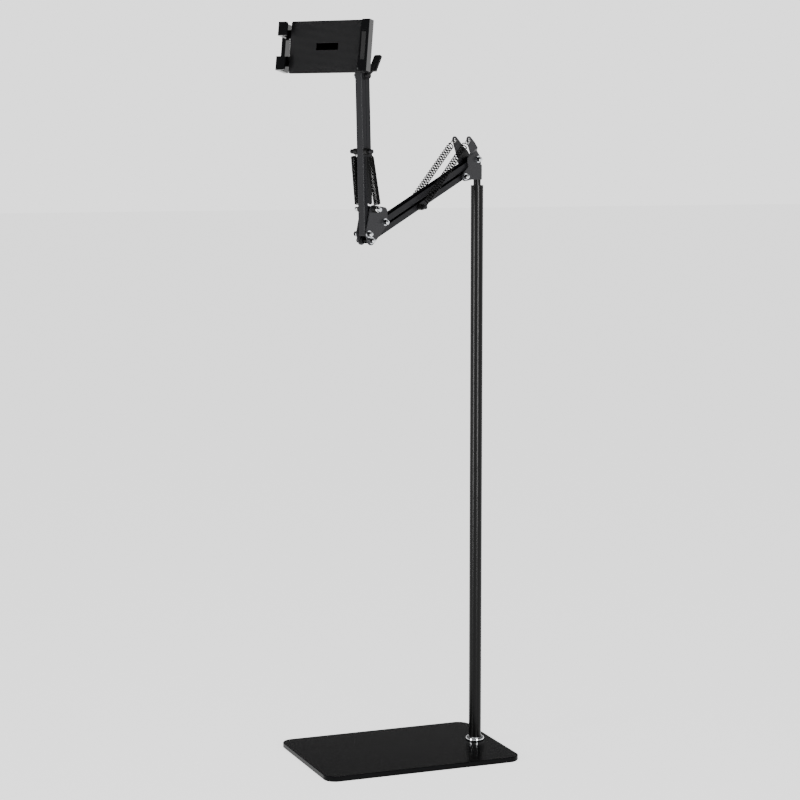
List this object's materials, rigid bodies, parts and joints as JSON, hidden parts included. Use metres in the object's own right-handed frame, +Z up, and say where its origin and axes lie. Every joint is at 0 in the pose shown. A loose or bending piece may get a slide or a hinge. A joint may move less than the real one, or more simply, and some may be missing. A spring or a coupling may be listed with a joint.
{
  "type": "adjustable arm phone stand",
  "caption": "Weighted floor stand with a tall pole and a sprung two-part parallelogram arm carrying a swivelling clamp holder for a phone or small tablet.",
  "frame": {"origin": "centre of the base's underside, on the floor", "axes": "+Z up, +X along the base's long side towards the pole, arm stored turned 204.4 degrees about the pole as in the picture"},
  "size_m": [0.4409, 0.367, 1.2662],
  "materials": {
    "black_base": "smooth semi-gloss black paint",
    "black_pole": "gloss black paint",
    "arm_paint": "satin dark charcoal powder coat",
    "plate_paint": "satin dark grey powder coat",
    "bright_zinc": "bright zinc plate",
    "chrome_trim": "polished chrome plate",
    "dark_steel": "turned steel",
    "spring_black": "black oiled spring wire with bare hooks",
    "sleeve_black": "matt black nylon",
    "rubber_black": "matt black rubber",
    "holder_black": "fine-grained matt black plastic",
    "panel_black": "dark grey plastic with a fine diagonal check",
    "yoke_black": "satin black powder coat"
  },
  "bodies": {
    "stand": {"base_pad": "rubber_black", "base_plate": "black_base", "base_bolt": "bright_zinc", "foot_collar": "chrome_trim", "foot_plug": "dark_steel", "lower_tube": "black_pole", "tube_joiner": "dark_steel", "upper_tube": "black_pole", "top_bush": "black_pole"},
    "shoulder": {"swivel_pin": "black_pole", "shoulder_block": "plate_paint", "shoulder_plate_near": "plate_paint", "shoulder_plate_far": "plate_paint", "shoulder_bolts": "bright_zinc", "shoulder_nuts": "bright_zinc", "shoulder_washers": "bright_zinc", "shoulder_spacers": "sleeve_black", "lower_spring_near": "spring_black", "lower_spring_far": "spring_black"},
    "lower_link": {"lower_bottom_channel": "arm_paint", "lower_spring_pin": "arm_paint", "lower_spring_pin_knobs": "arm_paint", "lower_spring_pin_sleeves": "sleeve_black"},
    "top_link": {"lower_top_channel": "arm_paint"},
    "elbow": {"elbow_plate_near": "plate_paint", "elbow_plate_far": "plate_paint", "elbow_bolts": "bright_zinc", "elbow_nuts": "bright_zinc", "elbow_washers": "bright_zinc", "elbow_spacers": "sleeve_black", "spring_post": "bright_zinc", "spring_post_knobs": "bright_zinc", "spring_post_sleeves": "sleeve_black", "spring_post_spacer": "sleeve_black", "upper_spring_near": "spring_black", "upper_spring_far": "spring_black"},
    "upper_arm": {"upper_front_channel": "arm_paint", "upper_rear_channel": "arm_paint", "upper_spring_pin": "arm_paint", "upper_spring_pin_knobs": "arm_paint", "upper_spring_pin_sleeves": "sleeve_black", "tip_block": "yoke_black"},
    "head": {"tilt_yoke": "yoke_black", "tilt_bolt": "bright_zinc"},
    "lever": {"lever_shank": "yoke_black", "lever_blade": "holder_black"},
    "swivel": {"swivel_stub": "dark_steel", "swivel_clip": "bright_zinc"},
    "ball": {"ball_stud": "dark_steel"},
    "holder": {"holder_shell": "holder_black", "holder_panel": "panel_black", "panel_screws": "bright_zinc", "fixed_jaw": "holder_black", "fixed_jaw_pad": "rubber_black", "jaw_springs": "bright_zinc", "ball_socket": "holder_black", "socket_screws": "bright_zinc"},
    "ring": {"ring_nut": "holder_black"},
    "jaw": {"sliding_jaw": "holder_black", "sliding_jaw_pad": "rubber_black"}
  },
  "joints": [
    {"name": "arm_swivel", "type": "hinge", "parent": "stand", "child": "shoulder", "pos_m": [0.1453, 0, 1], "axis": [0, 0, 1], "continuous": true},
    {"name": "shoulder_pitch", "type": "hinge", "parent": "shoulder", "child": "lower_link", "pos_m": [0.10542, -0.01811, 1.0131], "axis": [-0.4136, 0.9105, 0], "range_deg": [-4.5, 69], "deforming": ["lower_spring_near", "lower_spring_far"]},
    {"name": "top_link_pitch", "type": "hinge", "parent": "shoulder", "child": "top_link", "pos_m": [0.13489, -0.00473, 1.04276], "axis": [-0.4136, 0.9105, 0], "range_deg": [-5, 70]},
    {"name": "elbow_level", "type": "hinge", "parent": "lower_link", "child": "elbow", "pos_m": [-0.10377, -0.11314, 0.91081], "axis": [-0.4136, 0.9105, 0], "range_deg": [-70, 5]},
    {"name": "elbow_pitch", "type": "hinge", "parent": "elbow", "child": "upper_arm", "pos_m": [-0.10914, -0.11558, 0.92151], "axis": [-0.4136, 0.9105, 0], "range_deg": [-95, 3], "deforming": ["upper_spring_near", "upper_spring_far"]},
    {"name": "head_tilt", "type": "hinge", "parent": "upper_arm", "child": "head", "pos_m": [-0.11152, -0.11666, 1.17993], "axis": [-0.4136, 0.9105, 0], "range_deg": [-45, 35]},
    {"name": "lock_lever", "type": "hinge", "parent": "head", "child": "lever", "pos_m": [-0.11152, -0.11666, 1.17993], "axis": [-0.4136, 0.9105, 0], "range_deg": [-60, 60]},
    {"name": "head_swivel", "type": "hinge", "parent": "head", "child": "swivel", "pos_m": [-0.15742, -0.13751, 1.20053], "axis": [0, 0, 1], "range_deg": [-62, 28]},
    {"name": "holder_roll", "type": "hinge", "parent": "swivel", "child": "ball", "pos_m": [-0.17075, -0.14928, 1.22006], "axis": [-0.7405, -0.6536, 0.1564], "continuous": true},
    {"name": "holder_tilt", "type": "hinge", "parent": "ball", "child": "holder", "pos_m": [-0.17075, -0.14928, 1.22006], "axis": [0.6617, -0.7498, 0], "range_deg": [-16.5, 23.5]},
    {"name": "ring_turn", "type": "hinge", "parent": "holder", "child": "ring", "pos_m": [-0.17075, -0.14928, 1.22006], "axis": [-0.7405, -0.6536, 0.1564], "range_deg": [-90, 90]},
    {"name": "jaw_slide", "type": "slide", "parent": "holder", "child": "jaw", "axis": [-0.6617, 0.7498, 0], "range_m": [0, 0.025], "stiffness_N_per_m": 180, "springref_m": -0.02, "deforming": ["jaw_springs"]}
  ],
  "couplings": [
    {"joint": "top_link_pitch", "follows": "shoulder_pitch", "ratio": 1},
    {"joint": "elbow_level", "follows": "shoulder_pitch", "ratio": -1}
  ]
}
